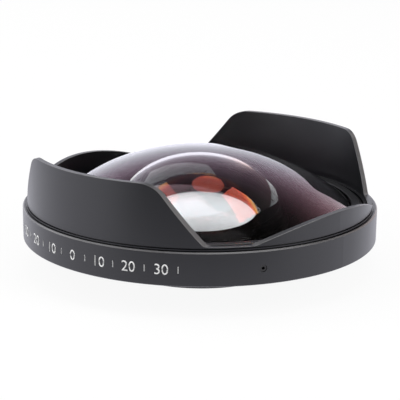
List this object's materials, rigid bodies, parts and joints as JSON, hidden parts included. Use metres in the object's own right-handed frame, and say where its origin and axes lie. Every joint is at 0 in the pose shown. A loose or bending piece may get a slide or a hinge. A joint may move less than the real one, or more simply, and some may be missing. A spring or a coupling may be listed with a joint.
{
  "type": "fisheye converter lens",
  "caption": "Add-on fisheye converter: domed front glass in a black ring with a turnable petal hood, set screws, and a male filter thread behind.",
  "frame": {"origin": "centre of the rear end face of the male filter thread, on the optical axis", "axes": "+Z along the optical axis towards the front, tall petals over +Y and -Y, low petals over +X and -X"},
  "size_m": [0.086, 0.086, 0.03],
  "materials": {
    "black_anodised": "black anodised, satin",
    "front_glass": "polished, purple coating, back painted black around the hollow",
    "rear_glass": "polished, amber coating",
    "seal_rubber": "matte",
    "stop_black": "matte black",
    "shim_brass": "rolled",
    "black_steel": "black oxide"
  },
  "bodies": {
    "lens": {"outer_ring": "black_anodised", "front_retaining_ring": "black_anodised", "front_element": "front_glass", "front_seal": "seal_rubber", "lens_body": "black_anodised", "glare_stop": "stop_black", "cell_shim": "shim_brass", "rear_cell": "black_anodised", "second_element": "rear_glass", "element_spacer": "stop_black", "crown_element": "rear_glass", "flint_element": "rear_glass", "rear_retaining_ring": "black_anodised", "mount_ring": "black_anodised", "mount_screws": "black_steel"},
    "hood": {"petal_hood": "black_anodised"},
    "hood_screw_1": {"hood_screw_1": "black_steel"},
    "hood_screw_2": {"hood_screw_2": "black_steel"},
    "hood_screw_3": {"hood_screw_3": "black_steel"}
  },
  "joints": [
    {"name": "hood_turn", "type": "hinge", "parent": "lens", "child": "hood", "pos_m": [0, 0, 0.0103], "axis": [0, 0, 1], "continuous": true},
    {"name": "screw_travel_1", "type": "slide", "parent": "lens", "child": "hood_screw_1", "axis": [0.866, -0.5, 0], "range_m": [0, 0.001]},
    {"name": "screw_travel_2", "type": "slide", "parent": "lens", "child": "hood_screw_2", "axis": [0, 1, 0], "range_m": [0, 0.001]},
    {"name": "screw_travel_3", "type": "slide", "parent": "lens", "child": "hood_screw_3", "axis": [-0.866, -0.5, 0], "range_m": [0, 0.001]}
  ]
}
